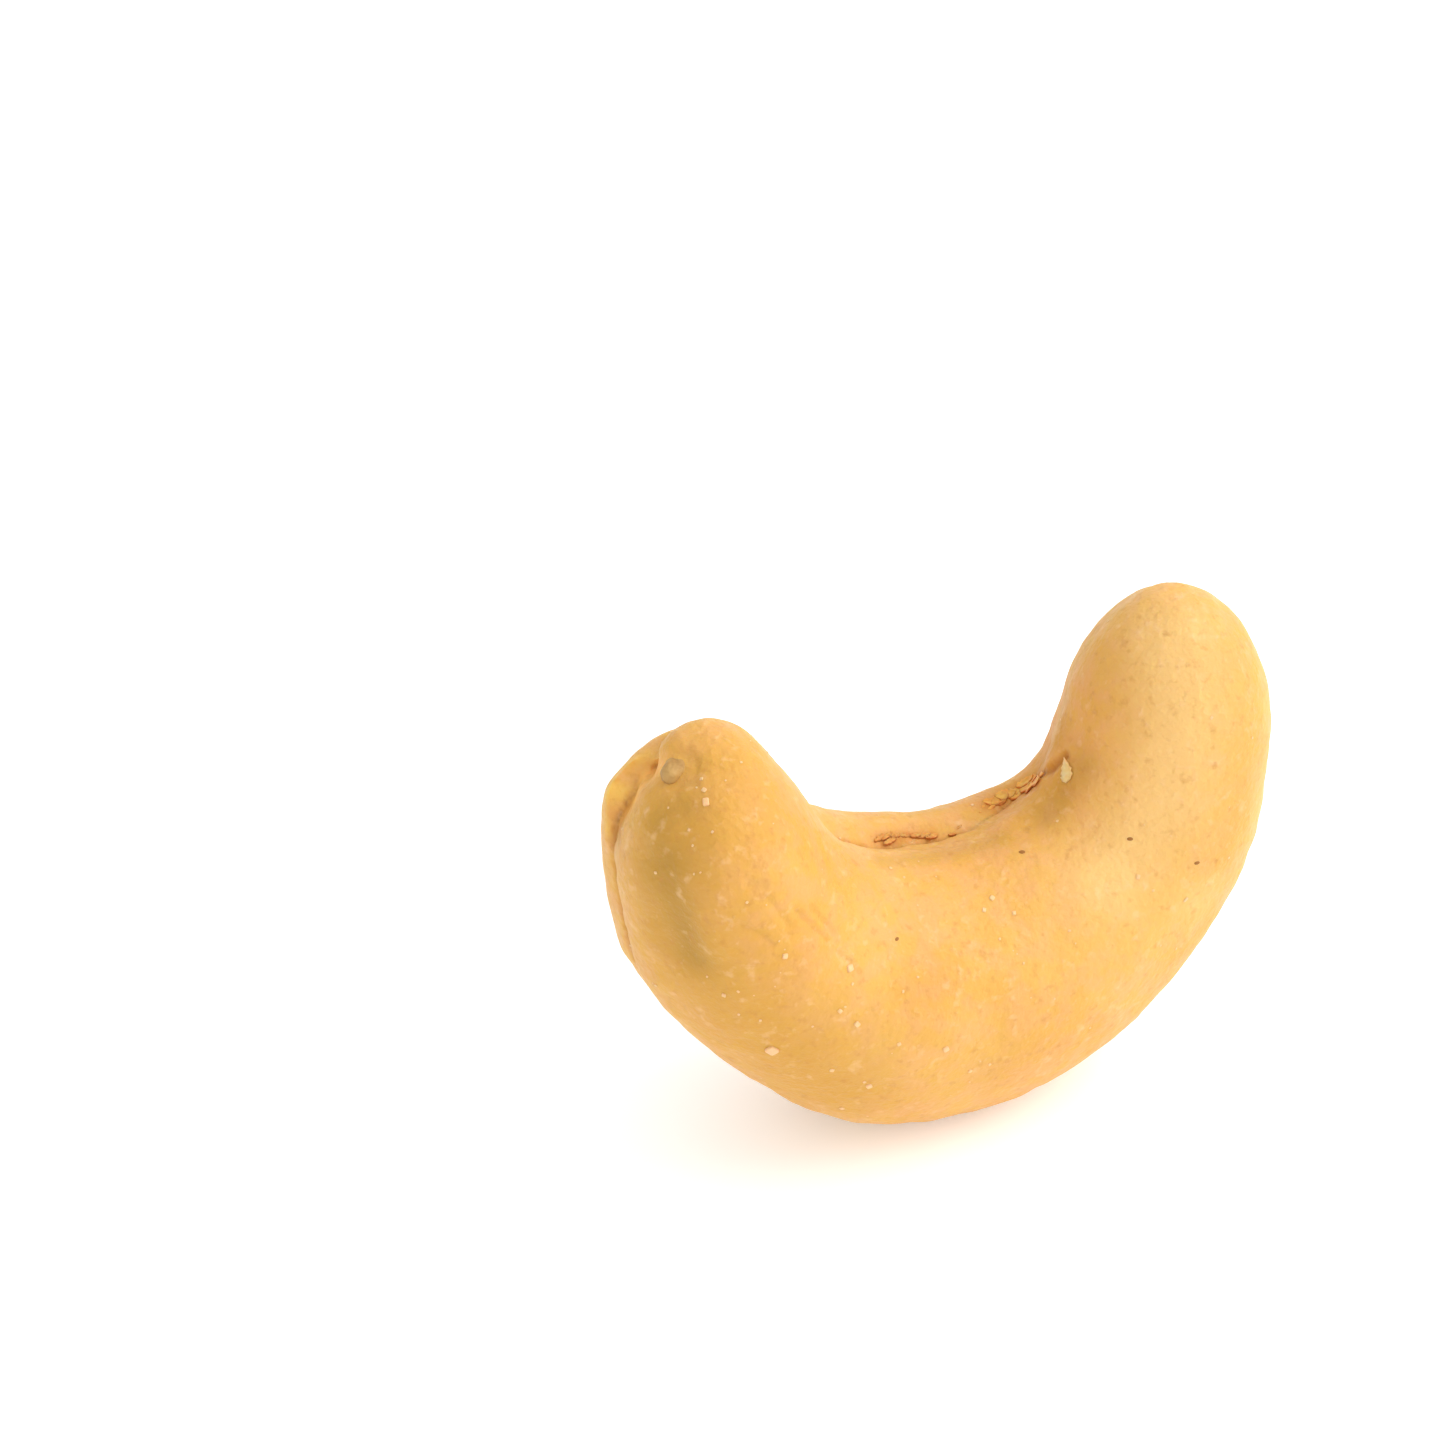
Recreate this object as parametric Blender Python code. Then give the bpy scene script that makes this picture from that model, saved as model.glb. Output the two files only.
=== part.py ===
"""A shelled, roasted cashew kernel, standing on the small flat of its curved back.

The kernel is a seed with two thick halves, the cotyledons, that lie face to face like two hands,
and a small radicle, the root tip, held between them at one end. Each half starts as a sphere whose
rings are moved along a curl, and is then cut along the seam, so both halves share one curl and
keep their own outline. Metres, +Z up. X runs from the radicle's lobe to the bare lobe, Y through
the thickness, and the origin is under the middle of the kernel on the surface it stands on.
"""

import math

import bmesh
import bpy
from mathutils import Matrix, Vector

MM = 0.001
FRONT = -1
REAR = 1

# The curl: the middle of the flesh follows a circle, measured in degrees from straight down.
CURL_RADIUS = 9.6 * MM
CURL_CENTRE = Vector((0.0, 0.0, 15.6)) * MM
LEFT_TIP = -109.0
RIGHT_TIP = 112.5
LEFT_CAP = 4.2 * MM
RIGHT_CAP = 4.6 * MM

# Half sizes of the flesh at stations along the curl: degrees, then millimetres towards the hollow
# of the curl, towards its back, and through the thickness to the front and to the rear.
STATIONS = (
    (-109, 2.95, 3.4, 4.6, 2.8),
    (-92, 3.4, 3.95, 5.1, 3.3),
    (-75, 4.0, 4.3, 5.4, 4.2),
    (-62, 4.35, 4.85, 5.6, 4.6),
    (-50, 4.8, 5.1, 5.8, 4.9),
    (-36, 5.2, 5.5, 6.0, 5.0),
    (-22, 5.45, 6.5, 6.3, 5.0),
    (-8, 5.5, 7.1, 6.25, 4.6),
    (22, 5.15, 6.9, 6.1, 3.9),
    (50, 4.3, 5.6, 5.6, 3.1),
    (66, 4.4, 4.8, 5.3, 3.2),
    (82, 4.1, 3.95, 4.9, 3.3),
    (113, 3.8, 3.2, 4.6, 3.2),
)

# How far the seam between the halves wanders towards the rear: degrees, millimetres.
SEAM_WANDER = (
    (-109, 2.1),
    (-92, 1.0),
    (-72, 0.0),
    (-40, -0.1),
    (0, 0.0),
    (20, 0.1),
    (38, 0.7),
    (58, 1.2),
    (80, 1.3),
    (113, 1.4),
)

# The valley where the halves meet: degrees, then its depth on the hollow side and on the back.
VALLEY = (
    (-109, 0.3, 0.3),
    (-85, 0.5, 0.3),
    (-50, 0.7, 0.1),
    (0, 0.8, 0.15),
    (50, 0.8, 0.15),
    (80, 0.3, 0.1),
    (113, 0.1, 0.1),
)
VALLEY_WIDTH = 0.8 * MM

# The front half's rim stands back at the radicle's lobe and bares the rear half's lip:
# degrees, millimetres.
SETBACK = (
    (-109, 0.0),
    (-102, 0.4),
    (-95, 1.2),
    (-89, 0.6),
    (-83, 0.1),
    (-76, 0.0),
    (113, 0.0),
)
SETBACK_WIDTH = 1.5 * MM

# Shallow hollows in the front face: where, how far they reach on each axis, how deep.
HOLLOW_BY_RADICLE = (Vector((-12.3, -3.3, 11.3)) * MM, Vector((1.5, 1.7, 2.4)) * MM, 0.4 * MM)
HOLLOW_AT_BEND = (Vector((6.6, -4.2, 11.5)) * MM, Vector((2.0, 2.0, 2.6)) * MM, 0.45 * MM)
HOLLOWS = (HOLLOW_BY_RADICLE, HOLLOW_AT_BEND)

# The root tip, and the notch in the front half that opens over it.
RADICLE_TIP = Vector((-11.85, -1.25, 17.95)) * MM
RADICLE_ROOT = Vector((-8.9, 0.4, 16.7)) * MM
RADICLE_RADIUS = 0.7 * MM
RADICLE_CLEARANCE = 0.3 * MM
NOTCH_CENTRE = Vector((-11.45, -0.45, 17.75)) * MM
NOTCH_REACH = Vector((1.3, 0.85, 2.0)) * MM
NOTCH_OPENS_TO = Vector((-0.35, -0.75, 0.56))

SEAM_GAP = 0.3 * MM
FLAT_HEIGHT = -0.6 * MM
AROUND = 56
ALONG = 48
CAP_RINGS = 12
SEAM_STRIPS = 20
SHARP_ANGLE = math.radians(40)

# Base colour, linear.
FLESH_COLOUR = (0.80, 0.50, 0.18, 1.0)
REAR_COLOUR = (0.78, 0.46, 0.15, 1.0)
RADICLE_COLOUR = (0.55, 0.38, 0.16, 1.0)
ROUGHNESS = 0.45


def smooth_between(rows, where, column):
    """The value of a column at an angle, on a smooth curve through the rows' values."""
    last = len(rows) - 2
    k = 0
    while k < last and where > rows[k + 1][0]:
        k += 1
    before = rows[max(k - 1, 0)]
    low, high = rows[k], rows[k + 1]
    after = rows[min(k + 2, len(rows) - 1)]
    width = high[0] - low[0]
    share = min(max((where - low[0]) / width, 0.0), 1.0)
    start = (high[column] - before[column]) / (high[0] - before[0]) * width
    end = (after[column] - low[column]) / (after[0] - low[0]) * width
    square, cube = share**2, share**3
    return (
        (2 * cube - 3 * square + 1) * low[column]
        + (cube - 2 * square + share) * start
        + (3 * square - 2 * cube) * high[column]
        + (cube - square) * end
    )


def cap_ends():
    """Degrees at which the left cap ends and the right cap starts."""
    left = LEFT_TIP + math.degrees(LEFT_CAP / CURL_RADIUS)
    right = RIGHT_TIP - math.degrees(RIGHT_CAP / CURL_RADIUS)
    return left, right


def ring_angle(ring):
    """Degrees along the curl of a ring: rings crowd together where the caps round off."""
    left_end, right_end = cap_ends()
    if ring < CAP_RINGS:
        turn = 0.5 * math.pi * ring / CAP_RINGS
        return LEFT_TIP + (left_end - LEFT_TIP) * (1 - math.cos(turn))
    if ring > ALONG - CAP_RINGS:
        turn = 0.5 * math.pi * (ALONG - ring) / CAP_RINGS
        return RIGHT_TIP - (RIGHT_TIP - right_end) * (1 - math.cos(turn))
    share = (ring - CAP_RINGS) / (ALONG - 2 * CAP_RINGS)
    return left_end + share * (right_end - left_end)


def cap_share(angle):
    """How full the section is: 1 along the body, down to 0 at the tips, on a round curve."""
    from_left = math.radians(angle - LEFT_TIP) * CURL_RADIUS / LEFT_CAP
    from_right = math.radians(RIGHT_TIP - angle) * CURL_RADIUS / RIGHT_CAP
    nearest = max(min(from_left, from_right), 0.0)
    if nearest >= 1:
        return 1.0
    return math.sqrt(1 - (1 - nearest) ** 2)


def on_curl(angle, reach, sideways):
    """The point at an angle of the curl, at a reach from its centre, and sideways along Y."""
    swing = math.radians(angle)
    return CURL_CENTRE + Vector((reach * math.sin(swing), sideways, -reach * math.cos(swing)))


def flesh_point(angle, turn, side):
    """A point of the skin: turn is 0 on the back of the curl and a quarter turn at the rear."""
    inner, outer, front, rear = (
        smooth_between(STATIONS, angle, column) * MM for column in (1, 2, 3, 4)
    )
    full = cap_share(angle)
    on_back = math.cos(turn) > 0
    radial = math.cos(turn) * (outer if on_back else inner) * full
    sideways = math.sin(turn) * (rear if math.sin(turn) > 0 else front) * full
    point = on_curl(angle, CURL_RADIUS + radial, sideways)

    left_end, right_end = cap_ends()
    core = on_curl(min(max(angle, left_end), right_end), CURL_RADIUS, 0.0)
    for centre, reach, depth in HOLLOWS:
        away = point - centre
        spread = sum((away[axis] / reach[axis]) ** 2 for axis in range(3))
        point += (core - point).normalized() * depth * math.exp(-spread)

    core.y = point.y
    inward = (core - point).normalized()
    from_seam = sideways - smooth_between(SEAM_WANDER, angle, 1) * MM
    depth = smooth_between(VALLEY, angle, 2 if on_back else 1) * MM
    point += inward * depth * math.exp(-((from_seam / VALLEY_WIDTH) ** 2))
    if side == FRONT and on_back:
        rim = math.exp(-((from_seam / SETBACK_WIDTH) ** 2))
        point += inward * smooth_between(SETBACK, angle, 1) * MM * rim * math.cos(turn)
    return point


def bent_sphere(side):
    """A sphere with its poles at the two tips and its rings along the curl."""
    mesh = bmesh.new()
    bmesh.ops.create_uvsphere(mesh, u_segments=AROUND, v_segments=ALONG, radius=1.0)
    for vert in mesh.verts:
        polar = math.acos(max(-1.0, min(1.0, vert.co.z)))
        ring = round(polar / math.pi * ALONG)
        turn = math.atan2(vert.co.y, vert.co.x)
        vert.co = flesh_point(ring_angle(ring), turn, side)
    bmesh.ops.recalc_face_normals(mesh, faces=mesh.faces)
    return mesh


def cut_and_close(mesh, point, normal):
    """Removes what lies on the normal's side of a plane, and closes the cut with one flat face."""
    everything = mesh.verts[:] + mesh.edges[:] + mesh.faces[:]
    cut = bmesh.ops.bisect_plane(
        mesh, geom=everything, dist=1e-7, plane_co=point, plane_no=normal, clear_outer=True
    )
    rim = [item for item in cut["geom_cut"] if isinstance(item, bmesh.types.BMEdge)]
    return bmesh.ops.holes_fill(mesh, edges=rim, sides=0)["faces"]


def split_in_strips(mesh, faces):
    """Splits the seam's flat face across the curl, so that it can bend without folding."""
    level = faces[0].verts[0].co.y
    for strip in range(SEAM_STRIPS):
        swing = math.pi * strip / SEAM_STRIPS
        along = Vector((math.cos(swing), 0, math.sin(swing)))
        seam = [f for f in mesh.faces if all(abs(v.co.y - level) < 1e-8 for v in f.verts)]
        edges = {edge for face in seam for edge in face.edges}
        verts = {vert for face in seam for vert in face.verts}
        bmesh.ops.bisect_plane(
            mesh,
            geom=list(verts) + list(edges) + seam,
            dist=2e-5,
            plane_co=CURL_CENTRE,
            plane_no=along,
        )


def shift_by_seam(mesh, way):
    """Moves everything sideways by the seam's wander: -1 straightens the seam, 1 bends it back."""
    for vert in mesh.verts:
        spoke = vert.co - CURL_CENTRE
        angle = math.degrees(math.atan2(spoke.x, -spoke.z))
        vert.co.y += way * smooth_between(SEAM_WANDER, angle, 1) * MM


def new_object(name, mesh, collection):
    """An object from a finished mesh, shaded smooth but for its sharp edges."""
    for face in mesh.faces:
        face.smooth = True
    for edge in mesh.edges:
        edge.smooth = edge.calc_face_angle(0.0) < SHARP_ANGLE
    data = bpy.data.meshes.new(name)
    mesh.to_mesh(data)
    mesh.free()
    made = bpy.data.objects.new(name, data)
    collection.objects.link(made)
    return made


def stand_on_origin(measured, moved):
    """Moves the meshes so that the measured ones stand on the origin, over their middle."""
    points = [vert.co for made in measured for vert in made.data.vertices]
    low = [min(point[axis] for point in points) for axis in range(3)]
    high = [max(point[axis] for point in points) for axis in range(3)]
    shift = Vector((-(low[0] + high[0]) / 2, -(low[1] + high[1]) / 2, -low[2]))
    for made in moved:
        made.data.transform(Matrix.Translation(shift))


def add_material(made, colour):
    material = bpy.data.materials.new(made.name + "_flesh")
    material.use_nodes = True
    shader = material.node_tree.nodes["Principled BSDF"]
    shader.inputs["Base Color"].default_value = colour
    shader.inputs["Roughness"].default_value = ROUGHNESS
    shader.inputs["Metallic"].default_value = 0.0
    made.data.materials.append(material)


def egg(name, centre, reach, along, collection):
    """A sphere stretched to a reach on each axis, with its poles along a direction."""
    mesh = bmesh.new()
    bmesh.ops.create_uvsphere(mesh, u_segments=20, v_segments=14, radius=1.0)
    turn = along.to_track_quat("Z", "Y").to_matrix().to_4x4()
    stretch = Matrix.Diagonal((*reach, 1.0))
    bmesh.ops.transform(mesh, matrix=Matrix.Translation(centre) @ turn @ stretch, verts=mesh.verts)
    return new_object(name, mesh, collection)


def radicle(name, grow, collection):
    """The root tip: an egg from its root to its tip, grown on all sides by a clearance."""
    axis = RADICLE_TIP - RADICLE_ROOT
    wide = RADICLE_RADIUS + grow
    reach = (wide, wide, axis.length / 2 + grow)
    return egg(name, (RADICLE_TIP + RADICLE_ROOT) / 2, reach, axis, collection)


def cotyledon(name, side, cutters, collection):
    mesh = bent_sphere(side)
    shift_by_seam(mesh, -1)
    seam = cut_and_close(mesh, Vector((0, side * SEAM_GAP / 2, 0)), Vector((0, -side, 0)))
    split_in_strips(mesh, seam)
    shift_by_seam(mesh, 1)
    cut_and_close(mesh, Vector((0, 0, FLAT_HEIGHT)), Vector((0, 0, -1)))
    made = new_object(name, mesh, collection)
    for cutter in cutters:
        cut = made.modifiers.new("cut_" + cutter.name, "BOOLEAN")
        cut.operation = "DIFFERENCE"
        cut.solver = "EXACT"
        cut.object = cutter
    return made


def main():
    for old in list(bpy.data.objects):
        bpy.data.objects.remove(old)
    kernel = bpy.data.collections.new("cashew_kernel")
    bpy.context.scene.collection.children.link(kernel)
    cutters = bpy.data.collections.new("cutters")
    bpy.context.scene.collection.children.link(cutters)

    socket = radicle("radicle_socket", RADICLE_CLEARANCE, cutters)
    notch = egg("notch", NOTCH_CENTRE, NOTCH_REACH, NOTCH_OPENS_TO, cutters)
    for cutter in (socket, notch):
        cutter.hide_render = True
        cutter.display_type = "WIRE"

    front = cotyledon("cotyledon_front", FRONT, (socket, notch), kernel)
    rear = cotyledon("cotyledon_rear", REAR, (socket,), kernel)
    root_tip = radicle("radicle", 0.0, kernel)
    stand_on_origin((front, rear), (front, rear, root_tip, socket, notch))
    add_material(front, FLESH_COLOUR)
    add_material(rear, REAR_COLOUR)
    add_material(root_tip, RADICLE_COLOUR)


main()
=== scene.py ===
# %% [markdown]
# A shelled, roasted cashew kernel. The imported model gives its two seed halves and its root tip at
# their real size. This script gives them their looks: soft flesh with a crease between the halves,
# torn shreds of seed coat in the crease, grains of salt, small specks, and waxy, see-through
# colour. Lengths are in metres, as in the model, and MM turns millimetres into them.

import math
import random

import bmesh
import bpy
import numpy as np
from mathutils import Matrix, Vector, noise
from mathutils.bvhtree import BVHTree


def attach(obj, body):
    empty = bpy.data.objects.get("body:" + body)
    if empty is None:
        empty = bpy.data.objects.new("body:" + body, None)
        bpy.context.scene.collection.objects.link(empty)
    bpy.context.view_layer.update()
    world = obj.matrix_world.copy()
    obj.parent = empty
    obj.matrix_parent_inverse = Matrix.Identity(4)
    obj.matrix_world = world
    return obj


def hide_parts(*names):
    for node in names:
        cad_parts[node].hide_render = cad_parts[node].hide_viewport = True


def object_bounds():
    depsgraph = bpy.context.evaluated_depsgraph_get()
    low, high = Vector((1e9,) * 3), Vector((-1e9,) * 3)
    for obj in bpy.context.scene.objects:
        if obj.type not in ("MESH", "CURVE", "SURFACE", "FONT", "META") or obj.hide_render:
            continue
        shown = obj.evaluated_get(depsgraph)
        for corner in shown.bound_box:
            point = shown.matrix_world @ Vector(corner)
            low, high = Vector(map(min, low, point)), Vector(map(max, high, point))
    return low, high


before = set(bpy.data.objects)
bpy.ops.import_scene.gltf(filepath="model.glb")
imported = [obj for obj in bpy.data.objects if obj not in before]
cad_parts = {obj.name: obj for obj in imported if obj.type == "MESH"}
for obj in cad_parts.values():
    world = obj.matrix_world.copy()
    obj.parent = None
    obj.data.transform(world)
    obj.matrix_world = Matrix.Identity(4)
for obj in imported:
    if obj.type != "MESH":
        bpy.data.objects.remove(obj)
model_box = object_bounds()
MM = 0.001
print("model box in mm:", [tuple(round(c / MM, 2) for c in corner) for corner in model_box])

# %% [markdown]
# The camera comes first, because small marks are placed by where the photograph shows them. It
# stands left of the kernel's front and above it, with a long lens, as for close product
# photographs. The photograph puts the kernel below and right of its centre, so the camera looks
# past the kernel instead of shifting its lens.

# %% Camera
PHOTO_SIDE = 1440
SENSOR_WIDTH = 36.0
LENS = 105.0
DISTANCE = 159.6 * MM
TURNED_LEFT = math.radians(25)
RAISED = math.radians(34)
KERNEL_AT_PIXEL = (943, 878)

kernel_middle = (model_box[0] + model_box[1]) / 2
toward_camera = Vector(
    (
        -math.sin(TURNED_LEFT) * math.cos(RAISED),
        -math.cos(TURNED_LEFT) * math.cos(RAISED),
        math.sin(RAISED),
    )
)
camera_right = Vector((math.cos(TURNED_LEFT), -math.sin(TURNED_LEFT), 0))
camera_up = toward_camera.cross(camera_right)
PIXELS_PER_SLOPE = PHOTO_SIDE * LENS / SENSOR_WIDTH


def photo_direction(pixel):
    """The direction in which the camera sees a place given in the photograph's pixels."""
    across = (pixel[0] - PHOTO_SIDE / 2) / PIXELS_PER_SLOPE
    upward = (PHOTO_SIDE / 2 - pixel[1]) / PIXELS_PER_SLOPE
    return (camera_right * across + camera_up * upward - toward_camera).normalized()


def on_skin(pixel, tree):
    """The point of a skin, and its normal, that the photograph shows at a pixel."""
    place, normal, _, _ = tree.ray_cast(camera_place, photo_direction(pixel))
    if place is None:
        raise ValueError(f"no skin at pixel {pixel}")
    return place, normal


to_kernel = photo_direction(KERNEL_AT_PIXEL)
camera_place = kernel_middle + to_kernel * (DISTANCE / to_kernel.dot(toward_camera))
camera_data = bpy.data.cameras.new("camera")
camera_data.lens = LENS
camera_data.sensor_width = SENSOR_WIDTH
camera_data.clip_start = 1 * MM
camera_data.clip_end = 10.0
camera = bpy.data.objects.new("camera", camera_data)
bpy.context.scene.collection.objects.link(camera)
camera.location = camera_place
camera.rotation_mode = "QUATERNION"
camera.rotation_quaternion = (-toward_camera).to_track_quat("-Z", "Y")
bpy.context.scene.camera = camera
print("camera stands at", [round(c / MM, 1) for c in camera_place], "mm")

# %% [markdown]
# On the real kernel the halves touch, and only a crease shows where they meet. The model keeps
# 0.3 mm between them. Two separate skins would show a black slot, so both halves are swollen until
# they meet, covered with one fine skin, and shrunk back by the same amount. That closes the slot
# and leaves the outline where it was. The fine skin has small even faces, which small forms need.
# Smoothing takes away the squares that such a skin starts with.
# The root tip lies in a pocket that the model cuts with crisp edges. The real pocket is a shallow
# bowl from which only the end of the root tip stands out, so a copy of the root tip, thicker and
# pushed back, fills the rest before the skin is made.

# %% Helpers for meshes
SAME_PLACE = 0.001 * MM


def merged_copy(node):
    """A copy of a model node with its loose triangles joined."""
    mesh = bmesh.new()
    mesh.from_mesh(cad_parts[node].data)
    bmesh.ops.remove_doubles(mesh, verts=mesh.verts, dist=SAME_PLACE)
    mesh.normal_update()
    return mesh


def swollen(mesh, amount):
    """Moves every point along its normal: outwards, or inwards for an amount below zero."""
    mesh.normal_update()
    steps = [(vert, vert.normal * amount) for vert in mesh.verts]
    for vert, step in steps:
        vert.co += step
    mesh.normal_update()
    return mesh


def fine_skin(mesh, grain):
    """One closed skin of even square faces round everything in a mesh."""
    data = bpy.data.meshes.new("rough")
    mesh.to_mesh(data)
    mesh.free()
    rough = bpy.data.objects.new("rough", data)
    bpy.context.scene.collection.objects.link(rough)
    remesh = rough.modifiers.new("skin", "REMESH")
    remesh.mode = "VOXEL"
    remesh.voxel_size = grain
    remesh.adaptivity = 0.0
    shown = rough.evaluated_get(bpy.context.evaluated_depsgraph_get())
    fine = bmesh.new()
    fine.from_mesh(shown.to_mesh())
    shown.to_mesh_clear()
    bpy.data.objects.remove(rough)
    bpy.data.meshes.remove(data)
    return fine


def smoothed(mesh, rounds, verts=None):
    """Evens out a mesh, or some of its points, as fingers do with wax."""
    for _ in range(rounds):
        bmesh.ops.smooth_vert(
            mesh,
            verts=verts or mesh.verts,
            factor=0.5,
            use_axis_x=True,
            use_axis_y=True,
            use_axis_z=True,
        )
    return mesh


# %% The seam, measured
CURL_CENTRE = Vector((0.0, 0.0, 16.2)) * MM
CURL_RADIUS = 9.6 * MM
WIDEST_GAP = 0.33 * MM
SEAM_STEP = 5


def angle_on_curl(places):
    """Degrees round the curl, from straight down, of rows of places."""
    return np.degrees(np.arctan2(places[:, 0], CURL_CENTRE.z - places[:, 2]))


front_solid = merged_copy("cotyledon_front")
rear_solid = merged_copy("cotyledon_rear")
front_tree = BVHTree.FromBMesh(front_solid)
rear_tree = BVHTree.FromBMesh(rear_solid)
on_seam = []
for solid, other_tree, way in ((front_solid, rear_tree, 0.5), (rear_solid, front_tree, -0.5)):
    for vert in solid.verts:
        gap = other_tree.find_nearest(vert.co)[3]
        if gap < WIDEST_GAP:
            on_seam.append((vert.co.x, vert.co.y + way * gap, vert.co.z))
on_seam = np.array(on_seam)
seam_bins = np.round(angle_on_curl(on_seam) / SEAM_STEP)
seam_angles = np.unique(seam_bins)
seam_depths = [np.median(on_seam[seam_bins == b, 1]) for b in seam_angles]
seam_angles = seam_angles * SEAM_STEP
print("seam from", seam_angles[0], "to", seam_angles[-1], "degrees,", len(on_seam), "points")

# %% One skin round both halves
SWELL = 0.2 * MM
SKIN_GRAIN = 0.12 * MM
SMOOTHING_ROUNDS = 14
FILLING_THICKER = 0.70 * MM
FILLING_BACK = Vector((0.57, 0.50, -0.30)) * MM

filling = merged_copy("radicle")
for half in (front_solid, rear_solid):
    swollen(half, SWELL)
swollen(filling, FILLING_THICKER)
bmesh.ops.translate(filling, verts=filling.verts, vec=FILLING_BACK)
both = bmesh.new()
for half in (front_solid, rear_solid, filling):
    part = bpy.data.meshes.new("half")
    half.to_mesh(part)
    half.free()
    both.from_mesh(part)
    bpy.data.meshes.remove(part)
kernel = fine_skin(both, SKIN_GRAIN)
smoothed(kernel, SMOOTHING_ROUNDS)
swollen(kernel, -SWELL)
print("kernel skin:", len(kernel.verts), "points,", len(kernel.faces), "faces")

# %% [markdown]
# The surroundings of the pocket, and the groove that runs down from it beside the bared lip, are
# smoothed many more times, which rounds their rims and raises their floors.

# %% Soft pocket round the root tip
SOFT_SPOTS = (((672, 768), 1.5), ((657, 770), 1.1), ((645, 787), 0.8), ((633, 810), 0.6))
SOFT_ROUNDS = 42

kernel.normal_update()
skin_now = BVHTree.FromBMesh(kernel)
soft_spots = [(on_skin(pixel, skin_now)[0], reach * MM) for pixel, reach in SOFT_SPOTS]
soft_verts = [
    vert for vert in kernel.verts if any((vert.co - at).length < reach for at, reach in soft_spots)
]
smoothed(kernel, SOFT_ROUNDS, soft_verts)
print("points round the pocket:", len(soft_verts))

# %% [markdown]
# The forms are pushed into the skin as a sculptor would: each is a short rule that says how far a
# point moves along its normal. Arrays of all points make that quick. Angles are measured round the
# curl of the kernel, from straight down, and the seam is where the two halves are equally near.
# In the hollow the halves have grown together, so the fold along the seam is smoothed there first.

# %% Where each point lies
GROWN_FROM, GROWN_TO = -20, 118
GROWN_WIDTH = 0.7 * MM
GROWN_ROUNDS = 50

points = np.array([vert.co[:] for vert in kernel.verts])
to_front = np.array([front_tree.find_nearest(vert.co)[3] for vert in kernel.verts])
to_rear = np.array([rear_tree.find_nearest(vert.co)[3] for vert in kernel.verts])
from_seam = np.abs(to_front - to_rear)
angles = angle_on_curl(points)
grown = (from_seam < GROWN_WIDTH) & (angles > GROWN_FROM) & (angles < GROWN_TO)
smoothed(kernel, GROWN_ROUNDS, [vert for vert, yes in zip(kernel.verts, grown) if yes])
kernel.normal_update()
points = np.array([vert.co[:] for vert in kernel.verts])
normals = np.array([vert.normal[:] for vert in kernel.verts])
spokes = points - np.array(CURL_CENTRE)
angles = angle_on_curl(points)
on_back = np.hypot(spokes[:, 0], spokes[:, 2]) > CURL_RADIUS
skin_tree = BVHTree.FromBMesh(kernel)


def near_point(pixel, reach):
    """1 at the skin under a pixel, falling smoothly to 0 over a reach."""
    place, _ = on_skin(pixel, skin_tree)
    away = np.linalg.norm(points - np.array(place), axis=1)
    return np.exp(-((away / reach) ** 2))


def near_line(pixels, reach):
    """1 along a line of pixels drawn on the skin, falling smoothly to 0 over a reach."""
    knots = [np.array(on_skin(pixel, skin_tree)[0]) for pixel in pixels]
    nearest = np.full(len(points), 1e9)
    for start, end in zip(knots, knots[1:]):
        run = end - start
        share = np.clip((points - start) @ run / (run @ run), 0, 1)
        away = np.linalg.norm(points - start - share[:, None] * run, axis=1)
        nearest = np.minimum(nearest, away)
    return np.exp(-((nearest / reach) ** 2))


def rough_noise(size, seed):
    """Smooth noise from -1 to 1 with lumps of a size."""
    shift = Vector((seed, 2 * seed, 3 * seed))
    return np.array([noise.noise(vert.co / size + shift) for vert in kernel.verts])


print("seam points:", int((from_seam < 0.1 * MM).sum()))

# %% [markdown]
# In the hollow of the curl the halves have grown together, and the crease is open only where the
# seed coat was torn off. It is plain at the lobe that holds the root tip, and all but closed on
# the other lobe and under the back.

# %% Crease
CREASE_IN_HOLLOW = ((-115, 0.3), (-60, 0.5), (-35, 1.0), (45, 1.0), (62, 0.6), (75, 0.0), (115, 0.0))
CREASE_ON_BACK = ((-115, 0.2), (-95, 0.6), (-75, 0.9), (-60, 0.8), (-40, 0.5), (-20, 0.12), (115, 0.05))
BARED_LIP = ((612, 792), (622, 775), (650, 757), (664, 750))
TORN_PLACES = (
    ((877, 842), (905, 838), (934, 836)),
    ((952, 831), (960, 829)),
    ((1000, 810), (1016, 801), (1036, 787)),
)
CREASE_DEPTH = 0.28 * MM
CREASE_WIDTH = 0.2 * MM
CLOSED_SHARE = 0.08
TORN_SHARE = 0.6

in_hollow = np.interp(angles, *zip(*CREASE_IN_HOLLOW))
behind = np.interp(angles, *zip(*CREASE_ON_BACK))
torn = np.clip(sum(near_line(line, 0.5 * MM) for line in TORN_PLACES), 0, 1)
seen_in_hollow = (angles > -35) & (angles < 75)
in_hollow = np.where(seen_in_hollow, in_hollow * (CLOSED_SHARE + TORN_SHARE * torn), in_hollow)
crease_strength = np.where(on_back, behind, in_hollow) * (1 - near_line(BARED_LIP, 0.7 * MM))
ragged = 1 + 0.6 * rough_noise(0.7 * MM, 3) + 0.5 * rough_noise(0.3 * MM, 4)
crease = crease_strength * np.exp(-((from_seam / (CREASE_WIDTH * np.clip(ragged, 0.4, 2))) ** 2))
move = -CREASE_DEPTH * crease
print("deepest crease:", round(CREASE_DEPTH * crease.max() / MM, 2), "mm")

# %% [markdown]
# The front half has a long shallow hollow beside the root tip, with a soft ridge to its right, a
# few scratches, and lumps that come from drying and roasting. The thin bared lip has an ear and a
# kink. Both are shifted whole, because a push along the normals would fold such a thin lip, and it
# is smoothed once more at the end. Close to the surface that the kernel stands on, nothing moves.

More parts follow.
